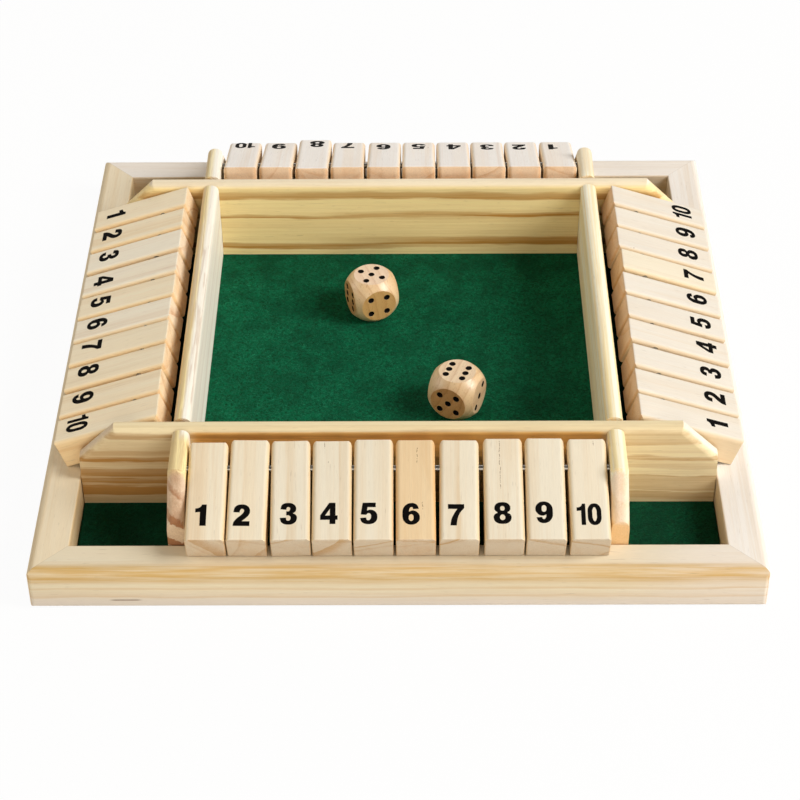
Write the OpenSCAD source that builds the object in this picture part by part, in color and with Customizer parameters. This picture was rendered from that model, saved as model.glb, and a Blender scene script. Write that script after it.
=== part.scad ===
// Four-sided shut the box. A framed tray with a felt floor holds a lapped
// frame of four boards on edge. A steel rod runs along each side of that
// frame, and ten numbered tiles hinge on each rod: open, a tile's foot rests
// on the tray's rail; shut, its numbered face lies on the board's top edge.
// Two dice lie on the felt.
//
// Millimetres. The origin is the centre of the underside, +Z is up, and the
// front row is on -Y. Every side is the front one turned about +Z.

/* [Tray] */
// Outer side of the square tray
tray_w = 225; // [218:1:236]
// Width of a rail, seen from above
rail_w = 12; // [10:0.5:14]
// Height of a rail
rail_h = 15; // [12:0.5:17]
// Radius of a rail's outer top edge
rail_ease = 2.5; // [1:0.25:4]
// Radius of a rail's outer bottom edge
rail_foot_ease = 1.6; // [0.5:0.1:2.5]
// Radius of a rail's inner top edge
rail_edge = 0.6; // [0.3:0.1:1.2]
// Radius of the tray's upright corners
corner_r = 1.5; // [0.5:0.25:3]
// Thickness of the plywood base panel
panel_t = 4; // [3:0.5:5]
// How far the base panel reaches in under a rail
rabbet_w = 6; // [3:0.5:8]
// Thickness of the felt sheet
felt_t = 1; // [0.5:0.1:1.5]

/* [Frame of boards] */
// Clear width of the play area
play_w = 129.6; // [124:0.2:134]
// Thickness of a board
board_t = 5.5; // [5:0.25:6.5]
// Height of a board
board_h = 30.4; // [28:0.2:34]
// Radius along both top edges of a board
board_ease = 2.4; // [0.5:0.1:2.4]
// Size of the slanted cut at each end of a board's top
board_chamfer = 11.5; // [6:0.5:13]
// Gap between a board's end and the rail
board_gap = 0.3; // [0.1:0.1:1]
// Clearance on each side of a board in its lap
lap_clear = 0.1; // [0.05:0.05:0.3]

/* [Rods] */
// Diameter of a rod
rod_d = 2; // [1.5:0.1:2.4]
// Length of rod that is seated in a board's blind hole
rod_seat = 3.5; // [2:0.25:4]
// Depth of the rod's axis below the top of the boards
rod_drop = 4.3; // [3.5:0.1:6]
// Radial clearance of a rod in a tile and in a board
bore_clear = 0.08; // [0.04:0.01:0.1]

/* [Tiles] */
// Thickness of a tile
tile_t = 10.4; // [9:0.2:11]
// Gap between tiles, on average
tile_gap = 0.9; // [0.8:0.1:1.6]
// Distance from a tile's inner end to its bore
bore_inset = 9.1; // [7:0.1:10]
// Depth of the bore's axis below the numbered face
bore_depth = 2; // [1.8:0.1:3]
// Gap between a tile's swinging inner end and the board
swing_clear = 1; // [0.8:0.1:2]
// How far in on the rail a tile's foot stands
foot_in = 4.8; // [3:0.2:7]
// Gap between a resting foot and the rail
foot_gap = 0.05; // [0.02:0.01:0.2]
// Radius along both long edges of the numbered face
face_ease = 1.5; // [0.5:0.1:2]
// Radius of the inner end's corners, seen on the numbered face
head_ease = 1.7; // [0.5:0.1:2.5]
// Radius of the other edges of a tile
edge_ease = 0.5; // [0.2:0.1:0.8]
// Extra thickness of the one coarse tile, number 8 at the back
coarse_extra = 1; // [0:0.1:1]

/* [Dice] */
// Side of a die
die_w = 16; // [12:0.5:18]
// Radius of the ball that rounds a die, as a share of its side
die_round = 0.63; // [0.6:0.01:0.7]
// Radius of a pip's rim
pip_r = 1.1; // [0.8:0.05:1.2]
// Depth of a pip
pip_depth = 0.5; // [0.3:0.05:0.7]
// Distance of an outer pip from a face's middle lines
pip_out = 2.9; // [2.4:0.1:3]
// Gap between a resting die and the felt
die_gap = 0.05; // [0.02:0.01:0.2]
// Place of die 1 to the right of the tray's middle
die_1_x = -9.8; // [-50:0.1:50]
// Place of die 1 behind the tray's middle
die_1_y = 30.3; // [-50:0.1:50]
// Turn of die 1 about its upright axis
die_1_turn = 19.6; // [-45:0.1:45]
// Place of die 2 to the right of the tray's middle
die_2_x = 19.3; // [-50:0.1:50]
// Place of die 2 behind the tray's middle
die_2_y = -23.7; // [-50:0.1:50]
// Turn of die 2 about its upright axis
die_2_turn = -23.3; // [-45:0.1:45]

/* [Hidden] */
$fn = 48;
SIDES = ["front", "right", "back", "left"];
TILES = 10;

// Where each loose tile has slid along its rod, in tile gaps towards the
// next number. A tile keeps a quarter of a gap from whatever is beside it.
SLIDE = [
    [0.1, -0.2, -0.5, -0.8, -1.1, -1.3, -0.8, -0.3, -0.5, -0.4],
    [-0.1, -0.5, -0.4, 0, 0, 0, 0.6, 0.2, -0.1, 0],
    [0.2, 0.2, 0, -0.3, -0.5, -0.7, -0.4, -0.6, -0.55, -0.55],
    [0.2, 0.35, 0.2, 0.7, 0.8, 0.4, 0, -0.2, 0.1, -0.2]
];
// How far each tile's bore was drilled out of square, in degrees, which leans
// the tile's foot towards the next number
SKEW = [
    [0, -0.5, 1, 0.5, 0.2, 0.3, -0.5, 0.1, -0.3, 0.3],
    [0.4, 0.3, -0.3, -0.6, 0.1, 0.5, -0.4, 0.1, 0.9, 0.5],
    [-0.2, 0.2, 0, 0.2, -0.1, -0.4, 0.1, -0.3, -0.4, 0.4],
    [-0.6, 0, 0.1, 0.3, -0.5, -0.6, -0.3, 0.1, 0.4, 0.5]
];
// How much longer than its neighbours each tile's inner end was cut
HEAD = [
    [-0.7, 0.1, -0.2, -0.3, 0.2, 0, -0.1, 0.4, 0.5, 0.2],
    [0, 0.1, -0.2, 0.1, -0.1, 0, -0.5, 0.2, -0.1, 0.1],
    [0.2, 0.1, 0, -0.1, -0.1, 0, 0.2, 0.2, -0.1, -0.2],
    [0.1, -0.1, 0.1, 0, 0.2, -0.2, 0, 0.1, -0.1, 0.3]
];
COARSE = ["back", 8];

// Each die: where it lies, how it is turned, and the value on each face, in
// the order top, bottom, front, back, left, right
DICE = [
    [[die_1_x, die_1_y], die_1_turn, [5, 2, 4, 3, 6, 1]],
    [[die_2_x, die_2_y], die_2_turn, [6, 1, 5, 2, 4, 3]]
];

PINE = [0.93, 0.84, 0.67];
PALE_PINE = [0.95, 0.89, 0.80];
PLYWOOD = [0.86, 0.74, 0.55];
FELT_GREEN = [0.03, 0.30, 0.17];
STEEL = [0.78, 0.78, 0.80];
BEECH = [0.90, 0.72, 0.50];

over = 1; // how far a cut runs past the face it goes through
panel_clear = 0.2; // gap round the base panel in its rabbet
felt_clear = 0.25; // gap round the felt sheet
rod_end_gap = 0.2; // gap past a rod's end in its blind hole

tray_half = tray_w / 2;
rail_in = tray_half - rail_w; // inner faces of the rails
floor_z = panel_t + felt_t;
play_half = play_w / 2;
board_out = play_half + board_t; // outer faces of the boards
board_len = 2 * (rail_in - board_gap);
board_top = floor_z + board_h;

pitch = play_w / TILES;
tile_w = pitch - tile_gap;
under = tile_t - bore_depth; // from the bore's axis to the underside
swing_r = norm([bore_inset, under]); // swept by a tile's inner end
axis_out = board_out + swing_r + swing_clear;
axis_z = board_top - rod_drop;

// The foot is round, so the middle of its round sits at this height, and the
// tile is as long as it takes to reach the rail
foot_z = rail_h + foot_gap + edge_ease;
foot_reach = norm([rail_in + foot_in - axis_out, axis_z - foot_z]);
tile_reach = edge_ease + sqrt(pow(foot_reach, 2) - pow(under - edge_ease, 2));

// Slope of an open tile whose underside is this far below the bore's axis
function rest_slope(under) =
    let (along = tile_reach - edge_ease, down = under - edge_ease)
    asin((axis_z - foot_z) / norm([along, down])) - atan2(down, along);

// Extra thickness of one tile
function extra(side, n) = SIDES[side] == COARSE[0] && n == COARSE[1] ? coarse_extra : 0;

// A rectangle from lo to hi. r gives the radius of its lower left, lower
// right, upper right and upper left corners
module eased_rect(lo, hi, r) {
    at = [lo, [hi.x, lo.y], hi, [lo.x, hi.y]];
    difference() {
        translate(lo) square(hi - lo);
        for (k = [0:3])
            if (r[k] > 0)
                translate(at[k]) rotate(90 * k) difference() {
                    translate([-over, -over]) square(r[k] + over);
                    translate([r[k], r[k]]) circle(r[k]);
                }
    }
}

// Extrudes an outline drawn in [y, z] along X, centred
module along_x(length) {
    rotate([90, 0, 90]) linear_extrude(length, center = true) children();
}

// Extrudes an outline drawn in [x, z] along Y, centred
module along_y(length) {
    rotate([90, 0, 0]) linear_extrude(length, center = true) children();
}

module on_side(side) {
    rotate(90 * side) children();
}

module base_panel() {
    half = rail_in + rabbet_w - panel_clear;
    color(PLYWOOD)
    translate([-half, -half, 0]) cube([2 * half, 2 * half, panel_t]);
}

module felt() {
    half = rail_in - felt_clear;
    color(FELT_GREEN)
    translate([-half, -half, panel_t]) cube([2 * half, 2 * half, felt_t]);
}

// A mitred rail with a rabbet for the base panel
module rail(side) {
    rabbet_out = rail_in + rabbet_w;
    color(PALE_PINE)
    on_side(side) intersection() {
        difference() {
            along_x(tray_w)
                eased_rect([-tray_half, 0], [-rail_in, rail_h], [rail_foot_ease, 0, rail_edge, rail_ease]);
            along_x(tray_w + 2 * over)
                translate([-rabbet_out, -over]) square([rabbet_out, over + panel_t]);
        }
        linear_extrude(rail_h)
            polygon([[0, 0], [-tray_w, -tray_w], [tray_w, -tray_w]]);
        linear_extrude(rail_h)
            eased_rect([-tray_half, -tray_half], [tray_half, tray_half], [for (k = [0:3]) corner_r]);
    }
}

// Section of a board, its top at z = 0 and deep enough to be cut to length
module board_section(depth) {
    eased_rect([-board_t / 2, -depth], [board_t / 2, 0], [0, 0, board_ease, board_ease]);
}

// A board along X with rounded top edges that run on down its slanted ends
module board_blank() {
    intersection() {
        along_x(board_len) translate([0, board_h]) board_section(board_h);
        for_both_ends() translate([board_len / 2 - board_chamfer, 0, board_h])
            rotate([0, 45, 0]) along_x(4 * board_len) board_section(2 * board_len);
    }
}

// What is common to a child and its mirror image in X
module for_both_ends() {
    intersection() {
        children();
        mirror([1, 0, 0]) children();
    }
}

// A board on edge. The front and back boards are slotted from below, the
// other two from above, and each has two blind holes for the rods' ends
module board(side) {
    slot_w = board_t + 2 * lap_clear;
    slot_z = side % 2 == 0 ? -over : board_h / 2;
    hole = rod_seat + rod_end_gap;
    color(PINE)
    on_side(side) translate([0, -play_half - board_t / 2, floor_z]) difference() {
        board_blank();
        for (end = [-1, 1]) {
            translate([end * (play_half + board_t / 2) - slot_w / 2, -board_t, slot_z])
                cube([slot_w, 2 * board_t, board_h / 2 + over]);
            translate([end * axis_out, board_t / 2 - hole, axis_z - floor_z])
                rotate([-90, 0, 0]) cylinder(r = rod_d / 2 + bore_clear, h = hole + over);
        }
    }
}

module rod(side) {
    color(STEEL)
    on_side(side) translate([0, -axis_out, axis_z])
        rotate([0, 90, 0]) cylinder(d = rod_d, h = play_w + 2 * rod_seat, center = true);
}

// A tile that lies flat, with its bore's axis on X and its foot towards -Y
module tile_blank(head, under, skew) {
    half = tile_w / 2;
    difference() {
        rotate(skew) intersection() {
            along_y(4 * tile_reach)
                eased_rect([-half, -under], [half, bore_depth], [edge_ease, edge_ease, face_ease, face_ease]);
            linear_extrude(4 * tile_t, center = true)
                eased_rect([-half, -tile_reach], [half, head], [edge_ease, edge_ease, head_ease, head_ease]);
            along_x(2 * tile_w)
                eased_rect([-tile_reach, -under], [head, bore_depth], [for (k = [0:3]) edge_ease]);
        }
        along_x(2 * tile_w) circle(rod_d / 2 + bore_clear);
    }
}

module tile(side, n) {
    slid = SLIDE[side][n - 1] * tile_gap;
    below = under + extra(side, n);
    color(PALE_PINE)
    on_side(side) translate([(n - (TILES + 1) / 2) * pitch + slid, -axis_out, axis_z])
        rotate([rest_slope(below), 0, 0])
            tile_blank(bore_inset + HEAD[side][n - 1], below, SKEW[side][n - 1]);
}

// Places of a face's pips, in steps from its middle
function pips(value) = concat(
    value % 2 == 1 ? [[0, 0]] : [],
    value > 1 ? [[-1, -1], [1, 1]] : [],
    value > 3 ? [[-1, 1], [1, -1]] : [],
    value == 6 ? [[-1, 0], [1, 0]] : []
);

// A die about its own centre. Each turn brings a face of it to the top. The
// pips of the last two faces are turned to stand upright like the front's
module die_blank(values) {
    turns = [[0, 0, 0], [180, 0, 0], [-90, 0, 0], [90, 0, 0], [0, 90, 0], [0, -90, 0]];
    ball_r = (pow(pip_r, 2) + pow(pip_depth, 2)) / (2 * pip_depth);
    difference() {
        intersection() {
            cube(die_w, center = true);
            sphere(die_w * die_round);
        }
        for (k = [0:5])
            rotate(-turns[k]) rotate(k < 4 ? 0 : 90) for (at = pips(values[k]))
                translate([at.x * pip_out, at.y * pip_out, die_w / 2 + ball_r - pip_depth])
                    sphere(ball_r);
    }
}

module die(n) {
    lie = DICE[n - 1];
    color(BEECH)
    translate([lie[0].x, lie[0].y, floor_z + die_gap + die_w / 2])
        rotate(lie[1]) die_blank(lie[2]);
}

base_panel();
felt();
for (s = [0:3]) {
    rail(s);
    board(s);
    rod(s);
    for (n = [1:TILES])
        tile(s, n);
}
for (n = [1:len(DICE)])
    die(n);
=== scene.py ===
import math
import random

import bmesh
import bpy
from mathutils import Matrix, Vector


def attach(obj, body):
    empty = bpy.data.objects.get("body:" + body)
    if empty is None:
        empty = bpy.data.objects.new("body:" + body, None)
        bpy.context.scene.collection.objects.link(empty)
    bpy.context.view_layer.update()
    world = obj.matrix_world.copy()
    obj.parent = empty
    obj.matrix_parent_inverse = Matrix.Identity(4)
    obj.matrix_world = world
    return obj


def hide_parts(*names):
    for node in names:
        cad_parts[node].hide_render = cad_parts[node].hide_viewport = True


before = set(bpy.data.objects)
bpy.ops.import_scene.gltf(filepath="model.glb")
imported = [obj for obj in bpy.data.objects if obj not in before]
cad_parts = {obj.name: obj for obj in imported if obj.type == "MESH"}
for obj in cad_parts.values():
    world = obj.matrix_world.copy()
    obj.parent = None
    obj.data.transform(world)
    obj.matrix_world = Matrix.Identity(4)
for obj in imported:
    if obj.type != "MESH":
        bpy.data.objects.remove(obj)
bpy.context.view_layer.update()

MM = 0.001
SIDES = ["front", "right", "back", "left"]

# ---------------------------------------------------------------- sizes
# The same values as the part's source

RAIL_W, RAIL_H, TRAY_HALF = 12, 15, 112.5
FLOOR_Z, FELT_T, FELT_HALF = 5, 1, 100.25
PLAY_HALF, BOARD_T = 64.8, 5.5
TILES, PITCH, TILE_GAP = 10, 12.96, 0.9
AXIS_OUT, AXIS_Z, BORE_DEPTH = 83.684, 31.1, 2
REST_SLOPE, COARSE_SLOPE, COARSE = 18.47, 15.96, ("back", 8)
# Each tile's slide along its rod, in tile gaps, and its skew in degrees
SLIDE = {
    "front": [0.1, -0.2, -0.5, -0.8, -1.1, -1.3, -0.8, -0.3, -0.5, -0.4],
    "right": [-0.1, -0.5, -0.4, 0, 0, 0, 0.6, 0.2, -0.1, 0],
    "back": [0.2, 0.2, 0, -0.3, -0.5, -0.7, -0.4, -0.6, -0.55, -0.55],
    "left": [0.2, 0.35, 0.2, 0.7, 0.8, 0.4, 0, -0.2, 0.1, -0.2],
}
SKEW = {
    "front": [0, -0.5, 1, 0.5, 0.2, 0.3, -0.5, 0.1, -0.3, 0.3],
    "right": [0.4, 0.3, -0.3, -0.6, 0.1, 0.5, -0.4, 0.1, 0.9, 0.5],
    "back": [-0.2, 0.2, 0, 0.2, -0.1, -0.4, 0.1, -0.3, -0.4, 0.4],
    "left": [-0.6, 0, 0.1, 0.3, -0.5, -0.6, -0.3, 0.1, 0.4, 0.5],
}
DIE_W, PIP_R, PIP_DEPTH, PIP_OUT, DIE_GAP = 16, 1.1, 0.5, 2.9, 0.05
# Place and turn of each die, and its pips: up, down, front, back, left, right
DICE = {
    "die_1": ((-9.8, 30.3), 19.6, (5, 2, 4, 3, 6, 1)),
    "die_2": ((19.3, -23.7), -23.3, (6, 1, 5, 2, 4, 3)),
}

# Middle of each printed number on its tile: across, and along from the rod
PRINT = {
    "front": [(-1.3, -17.3), (-1.5, -17.4), (-0.5, -16.9), (-0.8, -16.8), (-1.4, -16.8),
              (-1.4, -17), (-1, -17.4), (-0.6, -16.8), (-0.7, -16.6), (-0.4, -17.3)],
    "right": [(-0.6, -17.5), (0.3, -18.1), (0.3, -18.1), (0.5, -18.2), (0.2, -17.5),
              (0.4, -17.6), (0.6, -17.9), (0.3, -17.1), (0.3, -17.5), (-0.1, -17.4)],
    "back": [(1.2, -18.5), (0.7, -18.4), (-0.1, -18.6), (-0.4, -19.1), (0, -19.8),
             (0.5, -19.4), (0.4, -21.5), (-0.8, -20.6), (0.5, -20.7), (0, -22.1)],
    "left": [(-0.5, -18), (-1.1, -18.2), (-1.1, -18), (-0.3, -18.3), (-0.9, -18),
             (-1, -17.8), (-1.7, -18.4), (-1.8, -18), (-1.1, -18.2), (-1.1, -18.5)],
}


def turn(degrees, axis):
    return Matrix.Rotation(math.radians(degrees), 4, axis)


def shift(x, y, z):
    return Matrix.Translation((x, y, z))


def side_frame(side):
    return turn(90 * SIDES.index(side), "Z")


def tile_frame(side, n):
    """Places a tile that lies flat, with its rod on X and its foot towards -Y."""
    slope = COARSE_SLOPE if (side, n) == COARSE else REST_SLOPE
    x = (n - (TILES + 1) / 2) * PITCH + SLIDE[side][n - 1] * TILE_GAP
    on_rod = side_frame(side) @ shift(x, -AXIS_OUT, AXIS_Z)
    return on_rod @ turn(slope, "X") @ turn(SKEW[side][n - 1], "Z")


def board_frame(side):
    """Places a board that runs along Y, with X inwards and its foot at z = 0."""
    return side_frame(side) @ shift(0, -PLAY_HALF - BOARD_T / 2, FLOOR_Z) @ turn(90, "Z")


def rail_frame(side):
    """Places a rail that runs along Y, with X inwards from its outer face."""
    return side_frame(side) @ shift(0, -TRAY_HALF, 0) @ turn(90, "Z")


def die_frame(name):
    (x, y), degrees, _ = DICE[name]
    return shift(x, y, FLOOR_Z + DIE_GAP + DIE_W / 2) @ turn(degrees, "Z")


# ---------------------------------------------------------------- objects


def add_object(name, data):
    obj = bpy.data.objects.new(name, data)
    bpy.context.scene.collection.objects.link(obj)
    return obj


def mesh_from(work, name):
    """A smooth mesh of what a bmesh holds, with its faces turned outwards."""
    bmesh.ops.recalc_face_normals(work, faces=work.faces)
    mesh = bpy.data.meshes.new(name)
    work.to_mesh(mesh)
    work.free()
    for face in mesh.polygons:
        face.use_smooth = True
    return mesh


# ---------------------------------------------------------------- nodes


def srgb(r, g, b):
    """Linear RGBA of a display colour given in 0 to 255."""
    def one(v):
        v /= 255
        return v / 12.92 if v <= 0.04045 else ((v + 0.055) / 1.055) ** 2.4
    return (one(r), one(g), one(b), 1)


class Net:
    """Adds shader nodes to a tree. Each call returns an output socket."""

    def __init__(self, tree):
        self.tree = tree

    def node(self, kind, **settings):
        n = self.tree.nodes.new("ShaderNode" + kind)
        for key, value in settings.items():
            setattr(n, key, value)
        return n

    def put(self, socket, value):
        if isinstance(value, bpy.types.NodeSocket):
            self.tree.links.new(value, socket)
        elif value is not None:
            socket.default_value = value

    def put_all(self, node, values):
        for socket, value in zip(node.inputs, values):
            self.put(socket, value)

    def math(self, op, a, b=None, c=None, clamp=False):
        n = self.node("Math", operation=op, use_clamp=clamp)
        self.put_all(n, (a, b, c))
        return n.outputs[0]

    def times(self, a, b):
        return self.math("MULTIPLY", a, b)

    def size(self, a):
        return self.math("ABSOLUTE", a)

    def most(self, values):
        """The highest of several levels."""
        total = values[0]
        for value in values[1:]:
            total = self.math("MAXIMUM", total, value)
        return total

    def sway(self, base, noise, reach, clamp=False):
        """The base, moved up and down by a noise that varies about 0.5."""
        return self.math("MULTIPLY_ADD", self.math("SUBTRACT", noise, 0.5), reach, base, clamp)

    def vec(self, op, a, b=None):
        n = self.node("VectorMath", operation=op)
        self.put(n.inputs[0], a)
        self.put(n.inputs[1], b)
        return n.outputs["Value" if op in ("LENGTH", "DOT_PRODUCT") else "Vector"]

    def split(self, vector):
        n = self.node("SeparateXYZ")
        self.put(n.inputs[0], vector)
        return n.outputs

    def join(self, x, y, z):
        n = self.node("CombineXYZ")
        self.put_all(n, (x, y, z))
        return n.outputs[0]

    def noise(self, place, scale=1.0, detail=2.0, rough=0.5, out="Fac"):
        n = self.node("TexNoise")
        self.put(n.inputs["Vector"], place)
        self.put(n.inputs["Scale"], scale)
        self.put(n.inputs["Detail"], detail)
        self.put(n.inputs["Roughness"], rough)
        return n.outputs[out]

    def grain(self, place, per_mm, detail=2.0, rough=0.5, out="Fac"):
        """Noise with its own scale along each axis."""
        return self.noise(self.vec("MULTIPLY", place, per_mm), 1, detail, rough, out)

    def line_noise(self, w, scale=1.0, detail=2.0):
        n = self.node("TexNoise", noise_dimensions="1D")
        self.put(n.inputs["W"], w)
        self.put(n.inputs["Scale"], scale)
        self.put(n.inputs["Detail"], detail)
        return n.outputs["Fac"]

    def ramp(self, fac, stops):
        """Grey levels at positions from 0 to 1, eased in between."""
        n = self.node("ValToRGB")
        ramp = n.color_ramp
        ramp.interpolation = "EASE"
        while len(ramp.elements) < len(stops):
            ramp.elements.new(1)
        for element, (at, level) in zip(ramp.elements, sorted(stops)):
            element.position = at
            element.color = (level, level, level, 1)
        self.put(n.inputs[0], fac)
        return n.outputs[0]

    def span(self, value, low, high, out_low=0.0, out_high=1.0):
        """Goes smoothly from out_low to out_high as the value goes from low to high."""
        n = self.node("MapRange", interpolation_type="SMOOTHSTEP")
        self.put_all(n, (value, low, high, out_low, out_high))
        return n.outputs[0]

    def mix(self, fac, a, b, blend="MIX"):
        n = self.node("Mix", data_type="RGBA", blend_type=blend)
        self.put(n.inputs[0], fac)
        self.put(n.inputs[6], a)
        self.put(n.inputs[7], b)
        return n.outputs[2]

    def tint(self, color, by):
        return self.mix(1, color, by, "MULTIPLY")

    def shade(self, color, level):
        return self.tint(color, self.join(level, level, level))

    def bump(self, height, distance, strength=1.0):
        n = self.node("Bump")
        self.put(n.inputs["Strength"], strength)
        self.put(n.inputs["Distance"], distance)
        self.put(n.inputs["Height"], height)
        return n.outputs[0]

    def seen(self):
        """1 for what the camera sees directly or through glass, otherwise 0."""
        path = self.node("LightPath").outputs
        return self.math("MAXIMUM", path["Is Camera Ray"], path["Is Transmission Ray"])


def material(name):
    """A new material, its net and shader, and the place in metres."""
    m = bpy.data.materials.new(name)
    m.use_nodes = True
    net = Net(m.node_tree)
    shader = m.node_tree.nodes["Principled BSDF"]
    place = net.node("TexCoord").outputs["Object"]
    return m, net, shader, place


def in_piece(net, place, at):
    """The place in millimetres in the frame of a piece, given where that frame is."""
    back = at.inverted()
    n = net.node("Mapping", vector_type="POINT")
    net.put(n.inputs["Vector"], place)
    n.inputs["Scale"].default_value = (1 / MM, 1 / MM, 1 / MM)
    n.inputs["Rotation"].default_value = back.to_euler("XYZ")
    n.inputs["Location"].default_value = back.to_translation()
    return n.outputs[0]


def dress(node, m):
    """Gives a CAD node a material."""
    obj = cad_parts[node]
    if not obj.material_slots:
        obj.data.materials.append(None)
    for slot in obj.material_slots:
        slot.link = "OBJECT"
        slot.material = m


# ---------------------------------------------------------------- pine
# Grain runs along Y. A noise's scale is given per millimetre on each axis.

PINE_IN = (
    ("Place", "Vector"), ("Seed", "Vector"), ("Pith", "Vector"), ("Lean", "Vector"),
    ("Grain", "Vector"), ("Across", "Vector"), ("Ring width", "Float"),
    ("Ring depth", "Float"), ("End depth", "Float"), ("Bands", "Float"),
    ("Marks", "Float"), ("Blush", "Float"), ("Pale", "Color"), ("Late", "Color"),
    ("Foot tint", "Color"), ("Head tint", "Color"), ("Side tint and shade", "Color"),
)
PINE_OUT = (("Color", "Color"), ("Roughness", "Float"), ("Normal", "Vector"))
WANDER, WANDER_REACH = (0.05, 0.012, 0.05), (7, 0, 7)
RING_EDGE, STREAK, THREAD = (0.9, 0.05, 0.9), (0.45, 0.006, 0.45), (1.7, 0.025, 1.7)
FIBRE, RESIN, PORES = (6, 0.22, 6), (2.6, 0.22, 2.6), (5, 1, 5)
PATCH, BLUSH, BLUSH_AWAY = (0.07, 0.02, 0.07), (0.22, 0.008, 0.22), (91, 17, 53)
# Darkness across a ring, from early wood to late wood
RING_SHAPE = [(0, 0.1), (0.06, 0), (0.45, 0.08), (0.72, 0.32), (0.88, 0.9), (0.95, 1), (1, 0.1)]
# Counted in rings: how fast their width varies, how ragged their edges are, and how
# fast their darkness varies
RING_UNEVEN, RING_RAGGED, RING_VARY = 0.9, 0.09, 3.7
BLUSH_TINT, MARK_COLOR = (0.99, 0.87, 0.72, 1), srgb(112, 74, 42)
BARE_ROUGH, PINE_BUMP = 0.47, 0.00004


def pine_rings(net, given, seeded):
    """Growth rings about a pith, which wander slowly along the grain."""
    x, y, z = net.split(given["Place"])
    lean_x, _, lean_z = net.split(given["Lean"])
    pith_x, _, pith_z = net.split(given["Pith"])
    wander = net.vec("SUBTRACT", net.grain(seeded, WANDER, out="Color"), (0.5, 0.5, 0.5))
    sway_x, _, sway_z = net.split(net.vec("MULTIPLY", wander, WANDER_REACH))
    off = []
    for lean, at, sway, pith in ((lean_x, x, sway_x, pith_x), (lean_z, z, sway_z, pith_z)):
        straight = net.math("MULTIPLY_ADD", lean, y, at)
        off.append(net.math("SUBTRACT", net.math("ADD", straight, sway), pith))
    out = net.math("DIVIDE", net.vec("LENGTH", net.join(off[0], 0, off[1])), given["Ring width"])
    out = net.math("ADD", out, net.line_noise(out, RING_UNEVEN, 1))
    edge = net.math("MULTIPLY_ADD", net.grain(seeded, RING_EDGE), RING_RAGGED, out)
    phase = net.math("FRACT", edge)
    each = net.line_noise(net.math("FLOOR", out), RING_VARY, 0)
    ring = net.times(net.ramp(phase, RING_SHAPE), net.span(each, 0.25, 0.75, 0.35, 1))
    return net.times(ring, given["Ring depth"])


def pine_group():
    """Sawn pine: rings about a pith, fibres, resin marks, and end grain where it is cut."""
    tree = bpy.data.node_groups.new("pine", "ShaderNodeTree")
    for ways, sockets in (("INPUT", PINE_IN), ("OUTPUT", PINE_OUT)):
        for name, kind in sockets:
            tree.interface.new_socket(name, in_out=ways, socket_type="NodeSocket" + kind)
    net = Net(tree)
    given = tree.nodes.new("NodeGroupInput").outputs
    result = tree.nodes.new("NodeGroupOutput").inputs
    seeded = net.vec("ADD", given["Place"], given["Seed"])
    ring = pine_rings(net, given, seeded)

    # Grain along the length, at three scales, and short resin marks
    streak = net.grain(seeded, STREAK, 3)
    thread = net.grain(seeded, THREAD, 3, 0.6)
    fibre = net.grain(seeded, FIBRE, 2, 0.6)
    resin = net.span(net.grain(seeded, RESIN, 1), 0.68, 0.78)
    patch = net.grain(seeded, PATCH)
    blush = net.grain(net.vec("ADD", seeded, BLUSH_AWAY), BLUSH)

    # Where it is cut across the grain, and where a face looks sideways
    normal = net.node("TexCoord").outputs["Normal"]
    along = net.vec("DOT_PRODUCT", normal, given["Grain"])
    end = net.span(net.size(along), 0.45, 0.75)
    side = net.span(net.size(net.vec("DOT_PRODUCT", normal, given["Across"])), 0.15, 0.9)
    pores = net.grain(seeded, PORES, 2, 0.7)

    # Early wood to late wood, then the slower changes of tone
    late = net.math("ADD", ring, given["Bands"])
    late = net.times(late, net.span(end, 0, 1, 1, given["End depth"]))
    late = net.sway(late, streak, 0.5)
    late = net.sway(late, thread, 0.5, clamp=True)
    color = net.mix(late, given["Pale"], given["Late"])
    warm = net.times(net.span(blush, 0.42, 0.68), given["Blush"])
    color = net.mix(warm, color, net.tint(color, BLUSH_TINT))
    color = net.shade(color, net.sway(net.sway(1, fibre, 0.17), patch, 0.12))
    # A golden tint on faces that look sideways, partly sawn grain and partly painted warm shade
    color = net.mix(side, color, net.tint(color, given["Side tint and shade"]))
    dark = net.math("ADD", net.times(resin, 0.16), given["Marks"], clamp=True)
    color = net.mix(dark, color, MARK_COLOR)

    # End grain is tinted at the foot and at the head, and its pores are open
    ends = net.mix(net.span(along, -0.2, 0.2), given["Foot tint"], given["Head tint"])
    cut = net.shade(net.tint(color, ends), net.span(pores, 0.35, 0.65, 0.9, 1.06))
    net.put(result["Color"], net.mix(end, color, cut))

    rough = net.math("MULTIPLY_ADD", fibre, 0.14, BARE_ROUGH)
    net.put(result["Roughness"], net.math("MULTIPLY_ADD", end, 0.2, rough))
    height = net.math("MULTIPLY_ADD", fibre, 0.5, net.times(thread, 0.5))
    height = net.math("MULTIPLY_ADD", net.times(pores, end), 0.8, height)
    net.put(result["Normal"], net.bump(net.math("SUBTRACT", height, dark), PINE_BUMP, 0.6))
    return tree


PINE = pine_group()


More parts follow.
